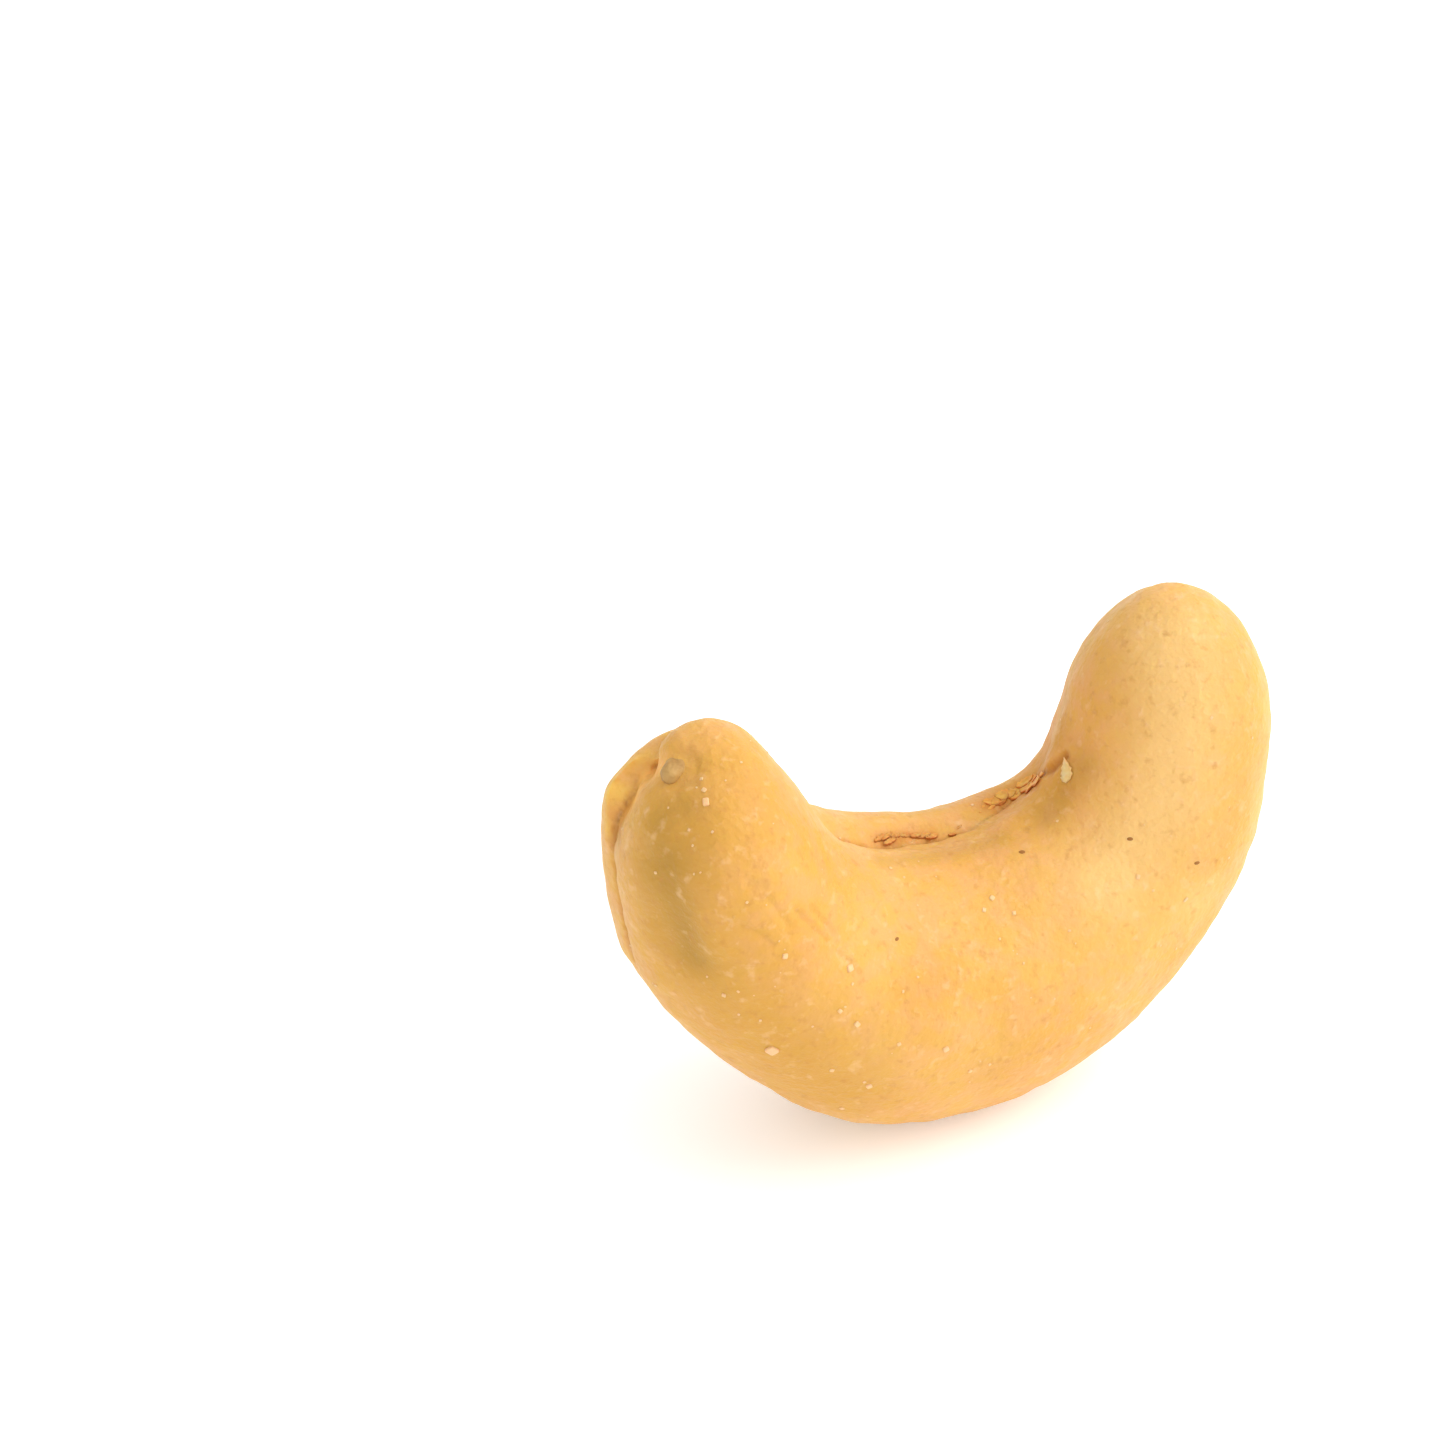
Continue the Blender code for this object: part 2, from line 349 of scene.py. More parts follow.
# %% Hollows, ridge, wrinkles and lumps
LIP_ROUNDS = 10
LIP_EAR = (617, 792)
WRINKLES = (
    ((796, 911), (812, 926), (826, 940)),
    ((811, 908), (822, 920), (832, 933)),
    ((768, 899), (780, 912), (790, 926)),
    ((838, 952), (850, 962), (858, 974)),
    ((742, 925), (758, 932), (772, 944)),
    ((748, 881), (756, 883), (764, 882)),
    ((748, 887), (756, 889), (764, 888)),
)
LUMPS = ((0.09, 4.0, 11), (0.055, 1.4, 12), (0.032, 0.6, 13))
STILL_BELOW = 1.0 * MM
EAR_WAY = camera_up * 0.3 - camera_right * 0.95
KINK_WAY = camera_right * 0.5 - camera_up * 0.85

side_hollow = near_line(((660, 868), (674, 905), (690, 955)), 1.0 * MM)
side_facet = near_line(((640, 860), (650, 905), (668, 950)), 0.5 * MM)
side_ridge = near_line(((716, 800), (720, 850), (718, 900), (710, 945)), 0.9 * MM)
wrinkles = sum(near_line(line, 0.13 * MM) for line in WRINKLES)
bend_fold = near_line(((1072, 742), (1100, 790), (1082, 836)), 0.9 * MM)
below_crease = near_line(((880, 856), (960, 848), (1030, 826), (1060, 795)), 0.6 * MM)
dome_shoulder = near_point((674, 743), 0.5 * MM)
moat = near_line(((662, 758), (680, 751), (696, 761), (693, 780), (676, 786)), 0.22 * MM)
crease_tail = near_line(((1037, 778), (1050, 770), (1063, 756)), 0.18 * MM)
lip_ear = near_point(LIP_EAR, 1.1 * MM)
lip_kink = near_point((654, 747), 0.6 * MM)

move -= 0.16 * MM * side_hollow
move -= 0.05 * MM * side_facet
move += 0.12 * MM * side_ridge
move -= 0.09 * MM * wrinkles
move -= 0.12 * MM * bend_fold
move -= 0.06 * MM * below_crease
move += 0.12 * MM * dome_shoulder
move -= 0.10 * MM * moat
move -= 0.20 * MM * crease_tail
for height, size, seed in LUMPS:
    move += height * MM * rough_noise(size * MM, seed)

lip_again = near_line(BARED_LIP, 0.7 * MM) > 0.3
free_share = np.clip(points[:, 2] / STILL_BELOW, 0, 1)
points += normals * (move * free_share)[:, None]
points += 0.28 * MM * lip_ear[:, None] * np.array(EAR_WAY)
points += 0.38 * MM * lip_kink[:, None] * np.array(KINK_WAY)
points[:, 2] = np.maximum(points[:, 2], 0)
for vert, place in zip(kernel.verts, points):
    vert.co = place
smoothed(kernel, LIP_ROUNDS, [vert for vert, yes in zip(kernel.verts, lip_again) if yes])
kernel.normal_update()
print("largest move:", round(np.abs(move).max() / MM, 2), "mm")

# %% [markdown]
# Colour follows form, and part of it is painted light. The crease, the groove beside the bared lip
# and the tail of the crease are darker and browner as painted shade, and the seed coat has stained
# the torn places. The olive share is painted shade in the hollow beside the root tip, at the bend
# and under the crease, and the flesh's own greenish tint along the rim. The bared inner face is
# orange with a yellow edge. The golden share is a golden tone, painted shade on the left and low
# flanks, away from the light, and a painted yellow glow along the right edge. The pale share is the
# pale middle of the broad lobe with a painted highlight at its brightest place, and the ear of the
# lip is lightened as painted light. These shares are stored on the points, where the material reads
# them, so that they stay on the flesh from any side.

# %% Shares of colour, painted shade and painted light on the points
# Olive share: painted shade in the hollow beside the root tip, on its facet, at the bend and under the
# crease. The line along the rim is the flesh's own greenish tint.
OLIVE_AND_SHADE_LINES = (
    (((664, 862), (672, 905), (690, 955)), 1.0 * MM, 0.75),
    (((640, 870), (644, 900), (656, 945)), 0.6 * MM, 0.2),
    (((655, 822), (668, 812), (684, 806)), 0.6 * MM, 0.4),
    (((1046, 812), (1062, 790), (1080, 770)), 0.8 * MM, 0.45),
    (((880, 860), (940, 852), (1000, 838)), 0.5 * MM, 0.35),
)
# Golden share: painted shade along the left and low flanks and at two spots, away from the light. It
# also gives a painted yellow glow along the right edge, and a golden tone on the dome and in the hollow
# by the bend.
GOLDEN_SHADE_LINE = ((668, 850), (678, 905), (708, 975), (775, 1045), (840, 1090))
PAINTED_SHADE_SPOTS = (((760, 800), 2.4), ((1000, 1060), 2.2))
DOME_LINE = ((660, 750), (695, 735), (735, 770))
HOLLOW_YELLOW = ((1045, 760), (1056, 738), (1066, 700))
RIGHT_EDGE_GLOW = ((1225, 650), (1248, 720), (1243, 800), (1222, 860))
# Pale share: the broad lobe's own pale middle, and a painted highlight at its brightest place.
PALE_LINE = ((1170, 640), (1180, 710), (1160, 800), (1110, 870))
PAINTED_HIGHLIGHT_SPOT = (1200, 900)
LIP_LINE = ((607, 830), (606, 800), (620, 772), (640, 757), (650, 754))
BARED_FACE = ((628, 808), (638, 792), (648, 776), (660, 766))
# The groove beside the bared lip is darkened as painted shade.
GROOVE_SHADE_LINE = ((620, 838), (622, 824), (630, 808))
POCKET = ((668, 770), (645, 790))
BAND_STAIN = ((882, 839), (905, 836), (932, 834))
FLAP_STAIN = ((990, 806), (1006, 797), (1022, 787), (1036, 778))

olive_and_shade = sum(share * near_line(line, reach) for line, reach, share in OLIVE_AND_SHADE_LINES)
golden_shade_and_glow = 0.85 * near_line(GOLDEN_SHADE_LINE, 2.6 * MM) + 0.3 * near_line(DOME_LINE, 1.6 * MM)
golden_shade_and_glow += 0.5 * near_line(RIGHT_EDGE_GLOW, 1.2 * MM)
golden_shade_and_glow += sum(0.35 * near_point(spot, reach * MM) for spot, reach in PAINTED_SHADE_SPOTS)
golden_shade_and_glow += 0.8 * near_line(HOLLOW_YELLOW, 0.6 * MM)
pale_and_highlight = near_line(PALE_LINE, 2.0 * MM) + 0.6 * near_point(PAINTED_HIGHLIGHT_SPOT, 1.3 * MM)
flap_stain = near_line(FLAP_STAIN, 0.45 * MM)
groove_shade = near_line(GROOVE_SHADE_LINE, 0.3 * MM)
near_pocket = near_line(POCKET, 1.2 * MM)
scorched = sum(near_line(line, 0.25 * MM) for line in TORN_PLACES)
# Painted shade: the crease, the groove and the crease tail are darkened and browned. At the torn places
# the seed coat adds a real stain.
crease_shade_and_stain = 0.85 * crease * (1 - near_pocket) + 0.45 * groove_shade
crease_shade_and_stain += 0.8 * crease_tail + 0.3 * scorched * (0.6 + rough_noise(0.3 * MM, 5))
shares = {
    "golden_shade_and_glow": golden_shade_and_glow,
    "pale_and_highlight": pale_and_highlight,
    "olive_and_shade": olive_and_shade,
    "bared": near_line(BARED_FACE, 0.55 * MM),
    "lip": near_line(LIP_LINE, 0.35 * MM),
    # Painted light: the ear of the lip, on the shaded left side, is lightened with a bright yellow.
    "painted_light_on_ear": 0.9 * near_point(LIP_EAR, 0.5 * MM),
    "stained": near_line(BAND_STAIN, 0.28 * MM) + flap_stain,
    "crease_shade_and_stain": crease_shade_and_stain * (1 - 0.7 * flap_stain),
}
for name, share in shares.items():
    layer = kernel.verts.layers.float.new(name)
    for vert, value in zip(kernel.verts, np.clip(share, 0, 1)):
        vert[layer] = value
print("toasted points:", int((crease_shade_and_stain > 0.3).sum()))

# %% [markdown]
# The skin is now cut along the seam into the two halves, each a closed solid that stands for its
# own node. They share the points of the cut, so no gap shows, and both keep the whole skin's
# normals there, so light runs over the cut without a line. At the root tip's lobe the cut is
# moved to the front, off the rear half's bared lip.

# %% Two halves
CUT_MOVED = ((-115, 0.7), (-86, 0.7), (-78, 0.0), (115, 0.0))


def object_from(name, mesh, material=None):
    """An object at the origin that holds a finished mesh, shaded smooth."""
    for face in mesh.faces:
        face.smooth = True
    data = bpy.data.meshes.new(name)
    mesh.to_mesh(data)
    mesh.free()
    kept = data.attributes.get("whole_normal")
    if kept:
        data.normals_split_custom_set_from_vertices([item.vector.normalized() for item in kept.data])
        data.attributes.remove(data.attributes["whole_normal"])
    made = bpy.data.objects.new(name, data)
    bpy.context.scene.collection.objects.link(made)
    if material:
        data.materials.append(material)
    return made


def slide_to_seam(mesh, way):
    """Moves points sideways by the seam's depth: -1 makes the seam flat, 1 bends it back."""
    places = np.array([vert.co[:] for vert in mesh.verts])
    degrees = angle_on_curl(places)
    depths = np.interp(degrees, seam_angles, seam_depths)
    depths -= np.interp(degrees, *zip(*CUT_MOVED)) * MM
    for vert, depth in zip(mesh.verts, depths):
        vert.co.y += way * depth


def half_of_kernel(side):
    """The kernel's skin on one side of the seam, closed along the cut."""
    half = kernel.copy()
    slide_to_seam(half, -1)
    everything = half.verts[:] + half.edges[:] + half.faces[:]
    away = Vector((0, -side, 0))
    cut = bmesh.ops.bisect_plane(
        half, geom=everything, dist=1e-8, plane_co=(0, 0, 0), plane_no=away, clear_outer=True
    )
    rim = [item for item in cut["geom_cut"] if isinstance(item, bmesh.types.BMEdge)]
    filled = bmesh.ops.triangle_fill(half, edges=rim, use_beauty=True, normal=away)
    slide_to_seam(half, 1)
    bmesh.ops.recalc_face_normals(half, faces=half.faces)
    print("cap faces:", len(filled["geom"]), "open edges:", sum(e.is_boundary for e in half.edges))
    return half


whole_normal = kernel.verts.layers.float_vector.new("whole_normal")
for vert in kernel.verts:
    vert[whole_normal] = vert.normal
kernel_tree = BVHTree.FromBMesh(kernel)
front_half = object_from("front_half", half_of_kernel(-1))
rear_half = object_from("rear_half", half_of_kernel(1))
kernel.free()
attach(front_half, "root")
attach(rear_half, "root")
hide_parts("cotyledon_front")
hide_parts("cotyledon_rear")
print("front half:", len(front_half.data.polygons), "faces; rear:", len(rear_half.data.polygons))

# %% [markdown]
# Materials. One function turns hex colours read from a photograph into the linear values that a
# shader needs, and one function adds a node with its settings and links.

# %% Helpers for materials


def linear(hex_colour):
    """Linear red, green, blue and alpha from an sRGB hex colour."""
    parts = [int(hex_colour[i : i + 2], 16) / 255 for i in (1, 3, 5)]
    return [c / 12.92 if c <= 0.04045 else ((c + 0.055) / 1.055) ** 2.4 for c in parts] + [1.0]


def add(tree, kind, inputs=None, **settings):
    """Adds a node. Inputs are values, or sockets of other nodes to link from."""
    node = tree.nodes.new(kind)
    for key, value in settings.items():
        setattr(node, key, value)
    for key, value in (inputs or {}).items():
        if isinstance(value, bpy.types.NodeSocket):
            tree.links.new(value, node.inputs[key])
        else:
            node.inputs[key].default_value = value
    return node


def new_material(name):
    material = bpy.data.materials.new(name)
    material.use_nodes = True
    tree = material.node_tree
    return material, tree, tree.nodes["Principled BSDF"]


def mixed(tree, share, first, second):
    """A colour between two, by a share from 0 to 1."""
    node = add(tree, "ShaderNodeMix", data_type="RGBA", clamp_factor=True)
    for socket, value in ((node.inputs[0], share), (node.inputs[6], first), (node.inputs[7], second)):
        if isinstance(value, bpy.types.NodeSocket):
            tree.links.new(value, socket)
        else:
            socket.default_value = value
    return node.outputs[2]


def noise_share(tree, size, low, high, detail=2.0):
    """A share from 0 to 1 that wanders over patches of a real size."""
    where = add(tree, "ShaderNodeTexCoord").outputs["Object"]
    waves = add(tree, "ShaderNodeTexNoise", {"Vector": where, "Scale": 1 / size, "Detail": detail})
    spread = {"Value": waves.outputs["Fac"], "From Min": low, "From Max": high}
    return add(tree, "ShaderNodeMapRange", spread).outputs["Result"]


# %% [markdown]
# Roasted cashew flesh is dense, oily and pale. Light enters it and comes out warmer a millimetre
# away, so it glows along its edges, and oil on the roasted surface gives a broad, dull shine.
# Its colour wanders between cream and toast over patches of a few millimetres, with finer pinkish
# and yellow mottling, and the surface has pebbles of about a quarter of a millimetre.

# %% Roasted flesh
CREAM = linear("#E0AD60")
TOAST = linear("#D69A48")
PINKISH = linear("#E2A970")
YELLOW = linear("#DCAA44")
# The golden, olive and crease colours below also serve as painted shade, the pale one also as a painted
# highlight, and the ear's bright yellow as painted light.
GOLDEN_SHADE_AND_GLOW = linear("#CC963A")
PALE_AND_HIGHLIGHT = linear("#E8BC74")
OLIVE_AND_SHADE_TINT = linear("#AC8028")
SHADE_AND_STAIN_BROWN = linear("#B5722C")
BARED_ORANGE = linear("#F0B25C")
LIP_YELLOW = linear("#E4B256")
EAR_PAINTED_LIGHT = linear("#F4CE6A")
STAINED = linear("#CE8632")
PALE_FLECK = linear("#EEC594")
PIT = linear("#C08440")

flesh, tree, shader = new_material("roasted_cashew_flesh")
colour = mixed(tree, noise_share(tree, 5.0 * MM, 0.35, 0.7), CREAM, TOAST)
mottle = mixed(tree, noise_share(tree, 0.9 * MM, 0.4, 0.6), PINKISH, YELLOW)
colour = mixed(tree, 0.35, colour, mottle)
tints = {"golden_shade_and_glow": GOLDEN_SHADE_AND_GLOW, "pale_and_highlight": PALE_AND_HIGHLIGHT, "olive_and_shade": OLIVE_AND_SHADE_TINT}
tints |= {"bared": BARED_ORANGE, "lip": LIP_YELLOW, "painted_light_on_ear": EAR_PAINTED_LIGHT}
tints |= {"stained": STAINED, "crease_shade_and_stain": SHADE_AND_STAIN_BROWN}
# The shares mix painted shade and painted light into the flesh colour, together with its real tints and
# stains.
for name, tint in tints.items():
    share = add(tree, "ShaderNodeAttribute", attribute_name=name).outputs["Fac"]
    colour = mixed(tree, share, colour, tint)
colour = mixed(tree, noise_share(tree, 0.5 * MM, 0.58, 1.0, 4.0), colour, PALE_FLECK)
colour = mixed(tree, noise_share(tree, 0.4 * MM, 0.42, 0.05, 4.0), colour, PIT)
tree.links.new(colour, shader.inputs["Base Color"])

where = add(tree, "ShaderNodeTexCoord").outputs["Object"]
pebble = {"Vector": where, "Scale": 1 / (0.3 * MM), "Smoothness": 0.8}
pebbles = add(tree, "ShaderNodeTexVoronoi", pebble, feature="SMOOTH_F1")
fine = add(tree, "ShaderNodeTexNoise", {"Vector": where, "Scale": 1 / (0.25 * MM), "Detail": 4.0})
first = {"Height": pebbles.outputs["Distance"], "Strength": 0.4, "Distance": 0.07 * MM}
bump = add(tree, "ShaderNodeBump", first)
second = {"Height": fine.outputs["Fac"], "Strength": 0.8, "Distance": 0.10 * MM}
second["Normal"] = bump.outputs["Normal"]
bump = add(tree, "ShaderNodeBump", second)
tree.links.new(bump.outputs["Normal"], shader.inputs["Normal"])
shine = {"Value": fine.outputs["Fac"], "To Min": 0.42, "To Max": 0.62}
tree.links.new(add(tree, "ShaderNodeMapRange", shine).outputs["Result"], shader.inputs["Roughness"])
shader.inputs["Subsurface Weight"].default_value = 0.3
shader.inputs["Subsurface Radius"].default_value = (1.0, 0.55, 0.16)
shader.inputs["Subsurface Scale"].default_value = 0.6 * MM
shader.inputs["IOR"].default_value = 1.45
shader.inputs["Specular IOR Level"].default_value = 0.35
for half in (front_half, rear_half):
    half.data.materials.append(flesh)
print("flesh nodes:", len(tree.nodes))

# %% [markdown]
# The root tip is a small dried peg, greyer than the flesh. Its node's form is right, so a fine
# skin round it is only roughened.

# %% Root tip
root_tip_mesh = smoothed(fine_skin(merged_copy("radicle"), 0.07 * MM), 4)
for vert in root_tip_mesh.verts:
    vert.co += vert.normal * 0.10 * MM * noise.noise(vert.co / (0.45 * MM))
root_material, tree, shader = new_material("dried_root_tip")
colour = mixed(tree, noise_share(tree, 0.5 * MM, 0.4, 0.65), linear("#BE9452"), linear("#AE8242"))
tree.links.new(colour, shader.inputs["Base Color"])
where = add(tree, "ShaderNodeTexCoord").outputs["Object"]
fine = add(tree, "ShaderNodeTexNoise", {"Vector": where, "Scale": 1 / (0.2 * MM), "Detail": 3.0})
grit = {"Height": fine.outputs["Fac"], "Strength": 0.8, "Distance": 0.10 * MM}
tree.links.new(add(tree, "ShaderNodeBump", grit).outputs["Normal"], shader.inputs["Normal"])
shader.inputs["Roughness"].default_value = 0.6
root_tip = object_from("root_tip", root_tip_mesh, root_material)
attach(root_tip, "root")
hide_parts("radicle")
print("root tip:", len(root_tip.data.polygons), "faces")

# %% [markdown]
# Shreds of the brown seed coat are left in the crease. Each is a thin strip, made from a grid that
# is laid along a line of places on the skin as it was before the crease, curled across, torn at its
# two edges by noise, and given the thickness of paper. A torn place is a row of short strips that
# overlap and lie a little askew. The band is darker, and the flap further right is a thinner,
# brighter piece. One pale, pointed flake of the flesh lies at the end of the crease, and it is made
# in the same way.

# %% Shreds of seed coat
SHRED_THICKNESS = 0.06 * MM
SHRED_WAVES = 0.05 * MM


def shred(line, width, curl, lift, seed, taper=0.0):
    """A torn strip along a line of pixels, curled across its width and narrower at its end."""
    knots = np.array([on_skin(pixel, skin_tree)[0] for pixel in line])
    stops = np.linspace(-0.5, 0.5, len(line))
    along = Vector(knots[-1] - knots[0]).normalized()
    mesh = bmesh.new()
    bmesh.ops.create_grid(mesh, x_segments=16, y_segments=6, size=0.5)
    shaded_lower_edge = mesh.verts.layers.float.new("shaded_lower_edge")
    for vert in mesh.verts:
        u, v = vert.co.x, vert.co.y * 2
        edge = math.copysign(5.0, v)
        torn = 0.85 + 0.5 * noise.noise(Vector((u * 7, seed, edge)))
        torn += 0.35 * noise.noise(Vector((u * 19, seed, edge)))
        torn *= (1 - (2 * abs(u)) ** 3) * (1 - taper * (u + 0.5))
        wave = noise.noise(Vector((u * 5, seed + 9, v)))
        middle = Vector([np.interp(u, stops, knots[:, axis]) for axis in range(3)])
        _, slope, _, _ = skin_tree.find_nearest(middle)
        across = slope.cross(along).normalized()
        foot, foot_normal, _, _ = skin_tree.find_nearest(middle + across * (v * width / 2 * torn))
        vert.co = foot + foot_normal * (lift + curl * v * v + SHRED_WAVES * wave)
        # Painted shade: the lower edge of each strip is marked to be darkened, where its curl would
        # cast shade.
        vert[shaded_lower_edge] = min(max(-v * 2 - 1.0, 0), 1)
    bmesh.ops.solidify(mesh, geom=mesh.faces, thickness=SHRED_THICKNESS)
    bmesh.ops.recalc_face_normals(mesh, faces=mesh.faces)
    return mesh


def joined(meshes):
    """One mesh from several."""
    whole = bmesh.new()
    for mesh in meshes:
        data = bpy.data.meshes.new("piece")
        mesh.to_mesh(data)
        mesh.free()
        whole.from_mesh(data)
        bpy.data.meshes.remove(data)
    return whole


BAND_ROWS = (
    (((879, 840), (905, 836), (934, 834)), 10, (9, 18), (0.16, 0.30)),
    (((952, 831), (960, 829)), 2, (6, 10), (0.12, 0.18)),
)
FLAP_ROW = (((987, 806), (1006, 797), (1022, 787), (1035, 778)), 14, (16, 26), (0.42, 0.70))
FLAKE = ((1066, 782), (1066, 770), (1064, 757))
draw = random.Random(7)


def papery(name, light, dark, edge):
    """A thin, dull material that goes from light to dark in patches, and darker on the lower edge as
    painted shade.
    """
    material, tree, shader = new_material(name)
    patches = noise_share(tree, 0.35 * MM, 0.38, 0.62)
    colour = mixed(tree, patches, linear(light), linear(dark))
    shaded_lower_edge = add(tree, "ShaderNodeAttribute", attribute_name="shaded_lower_edge").outputs["Fac"]
    colour = mixed(tree, shaded_lower_edge, colour, linear(edge))
    tree.links.new(colour, shader.inputs["Base Color"])
    shader.inputs["Roughness"].default_value = 0.55
    shader.inputs["Subsurface Weight"].default_value = 0.3
    shader.inputs["Subsurface Scale"].default_value = 0.4 * MM
    return material


def torn_row(line, count, lengths, widths):
    """Short strips along a line of pixels, a little askew, one over the other."""
    stops = np.linspace(0, 1, len(line))
    strips = []
    for number in range(count):
        share = (number + draw.random()) / count
        middle = np.array([np.interp(share, stops, [knot[axis] for knot in line]) for axis in (0, 1)])
        lean = math.radians(draw.uniform(-40, 5))
        half = draw.uniform(*lengths) / 2 * np.array([math.cos(lean), math.sin(lean)])
        middle[1] += draw.uniform(-3, 3)
        ends = (tuple(middle - half), tuple(middle + half))
        width = draw.uniform(*widths) * MM
        lift = draw.uniform(0.0, 0.05) * MM
        strips.append(shred(ends, width, draw.uniform(-0.04, 0.03) * MM, lift, number))
    return strips


# The last colour of each is the painted shade on a strip's lower edge.
seed_coat = papery("papery_seed_coat", "#DE9A42", "#CC802E", "#B46C28")
thin_coat = papery("thin_seed_coat", "#F8AE42", "#EA9632", "#C87022")
pale_flesh = papery("torn_pale_flesh", "#F6CE94", "#F0C07A", "#E6B068")
made_shreds = [made for row in BAND_ROWS for made in torn_row(*row)]
made_flap = torn_row(*FLAP_ROW)
print("strips of the band:", len(made_shreds), "and of the flap:", len(made_flap))
shreds = object_from("seed_coat_shreds", joined(made_shreds), seed_coat)
flap = object_from("seed_coat_flap", joined(made_flap), thin_coat)
flake_strip = shred(FLAKE, 0.9 * MM, -0.03 * MM, 0.01 * MM, 20, taper=0.75)
flake = object_from("flesh_flake", flake_strip, pale_flesh)
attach(shreds, "root")
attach(flap, "root")
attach(flake, "root")

# %% [markdown]
# Grains of salt stick to the oil. A grain is a small cube with worn edges, turned at random and
# sunk half into the skin. The large ones lie where the photograph shows them, and fine ones are
# strewn by a seeded draw, more of them low on the front, where the photograph shows most.

# %% Salt
LARGE_GRAINS = (
    ((772, 1050), 0.42),
    ((785, 956), 0.22),
    ((850, 968), 0.26),
    ((724, 995), 0.18),
    ((840, 1011), 0.18),
    ((857, 1024), 0.24),
    ((946, 1049), 0.22),
    ((970, 1071), 0.16),
    ((869, 1086), 0.22),
    ((899, 1044), 0.15),
    ((832, 1070), 0.16),
    ((842, 1108), 0.18),
    ((992, 898), 0.18),
    ((984, 910), 0.15),
    ((1014, 913), 0.16),
    ((1138, 877), 0.16),
    ((1186, 899), 0.16),
    ((706, 802), 0.30),
    ((704, 790), 0.16),
)
FINE_GRAINS = 80
STREWN_OVER = (610, 600, 1260, 1120)


def grain(place, normal, size):
    mesh = bmesh.new()
    bmesh.ops.create_cube(mesh, size=1.0)
    bmesh.ops.bevel(
        mesh, geom=mesh.edges[:], offset=0.22, segments=2, profile=0.5, affect="EDGES", material=-1
    )
    turn = Matrix.Rotation(draw.uniform(0, math.pi), 4, normal)
    tip = normal.to_track_quat("Z", "Y").to_matrix().to_4x4()
    stretch = Matrix.Diagonal((size * draw.uniform(0.7, 1.2), size, size * 0.5, 1.0))
    mesh.transform(Matrix.Translation(place) @ turn @ tip @ stretch)
    return mesh


def strewn(count):
    """Places on the kernel under random pixels of its front, fewer towards the top."""
    left, top, right, bottom = STREWN_OVER
    places = []
    while len(places) < count:
        pixel = (draw.uniform(left, right), draw.uniform(top, bottom))
        if draw.random() > 0.25 + 0.75 * (pixel[1] - top) / (bottom - top):
            continue
        place, normal, _, _ = kernel_tree.ray_cast(camera_place, photo_direction(pixel))
        if place is not None:
            places.append((place, normal))
    return places


grains = [grain(*on_skin(pixel, kernel_tree), size * MM) for pixel, size in LARGE_GRAINS]
grains += [grain(*spot, draw.uniform(0.05, 0.12) * MM) for spot in strewn(FINE_GRAINS)]
salt, tree, shader = new_material("oily_salt")
shader.inputs["Base Color"].default_value = linear("#EBBA84")
shader.inputs["Roughness"].default_value = 0.4
shader.inputs["Subsurface Weight"].default_value = 0.4
shader.inputs["Subsurface Scale"].default_value = 0.3 * MM
salt_grains = object_from("salt_grains", joined(grains), salt)
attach(salt_grains, "root")
print("grains:", len(LARGE_GRAINS) + FINE_GRAINS)

# %% [markdown]
# A few dark specks are burnt crumbs of seed coat, pressed flat into the skin.

# %% Specks
SPECKS = (((1022, 852), 0.20), ((1130, 839), 0.18), ((1197, 863), 0.18), ((897, 939), 0.16))


def speck(place, normal, size):
    mesh = bmesh.new()
    bmesh.ops.create_icosphere(mesh, subdivisions=2, radius=0.5)
    tip = normal.to_track_quat("Z", "Y").to_matrix().to_4x4()
    stretch = Matrix.Diagonal((size * 1.3, size * 0.8, size * 0.35, 1.0))
    mesh.transform(Matrix.Translation(place) @ tip @ stretch)
    return mesh


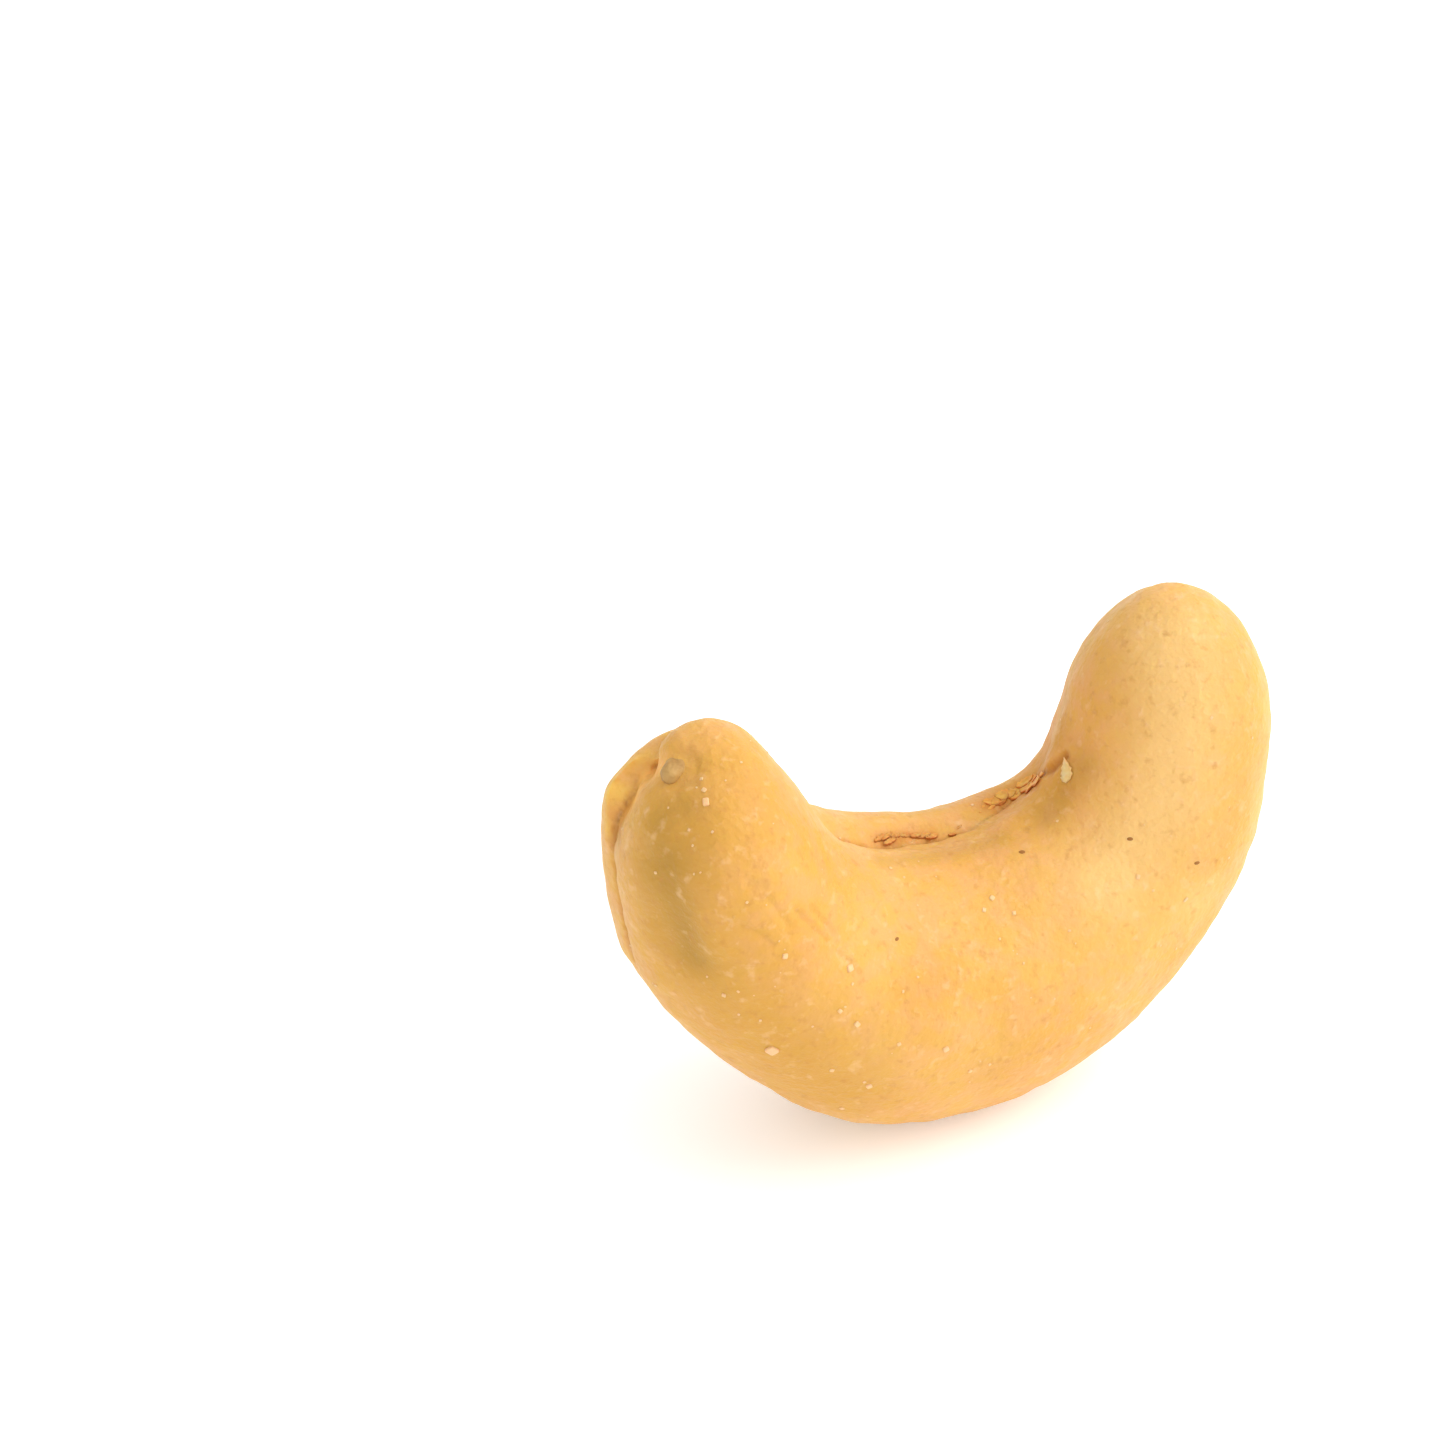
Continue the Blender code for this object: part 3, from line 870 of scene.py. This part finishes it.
burnt, tree, shader = new_material("burnt_seed_coat")
shader.inputs["Base Color"].default_value = linear("#9A6426")
shader.inputs["Roughness"].default_value = 0.7
made_specks = [speck(*on_skin(pixel, kernel_tree), size * MM) for pixel, size in SPECKS]
specks = object_from("burnt_specks", joined(made_specks), burnt)
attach(specks, "root")
print("specks:", len(SPECKS))

# %% [markdown]
# The photograph was taken on bright white paper in a light tent: white comes from everywhere, most
# of it from the right, with a large soft lamp there. The paper is thin and lit from below as
# well, which is why the kernel's shadow is so faint, so the floor gives off a little light.

# %% Floor and light
FLOOR_HALF = 600 * MM

floor_mesh = bmesh.new()
bmesh.ops.create_grid(floor_mesh, x_segments=1, y_segments=1, size=FLOOR_HALF)
paper, tree, shader = new_material("white_paper")
shader.inputs["Base Color"].default_value = linear("#FAF8F6")
shader.inputs["Roughness"].default_value = 0.9
shader.inputs["Emission Color"].default_value = (0.75, 0.92, 1.0, 1.0)
shader.inputs["Emission Strength"].default_value = 0.26
floor = object_from("floor", floor_mesh, paper)


def soft_lamp(name, place, size, power):
    """A square lamp that faces the kernel."""
    lamp = bpy.data.lights.new(name, "AREA")
    lamp.shape = "SQUARE"
    lamp.size = size
    lamp.energy = power
    made = bpy.data.objects.new(name, lamp)
    made.location = place
    made.rotation_mode = "QUATERNION"
    made.rotation_quaternion = (Vector(place) - kernel_middle).to_track_quat("Z", "Y")
    bpy.context.scene.collection.objects.link(made)
    return made


BRIGHT_SIDE = (0.7, -0.4, 0.6)

soft_lamp("key", (0.28, -0.12, 0.28), 0.30, 0.72)
world = bpy.data.worlds.new("light_tent")
world.use_nodes = True
tree = world.node_tree
toward = add(tree, "ShaderNodeTexCoord").outputs["Generated"]
facing = {0: toward, 1: Vector(BRIGHT_SIDE).normalized()}
facing = add(tree, "ShaderNodeVectorMath", facing, operation="DOT_PRODUCT").outputs["Value"]
spread = {"Value": facing, "From Min": -1.0, "From Max": 1.0, "To Min": 0.42, "To Max": 1.42}
strength = add(tree, "ShaderNodeMapRange", spread).outputs["Result"]
tree.links.new(strength, tree.nodes["Background"].inputs["Strength"])
tree.nodes["Background"].inputs["Color"].default_value = (1.0, 1.0, 1.0, 1.0)
bpy.context.scene.world = world
bpy.context.scene.view_settings.view_transform = "Standard"
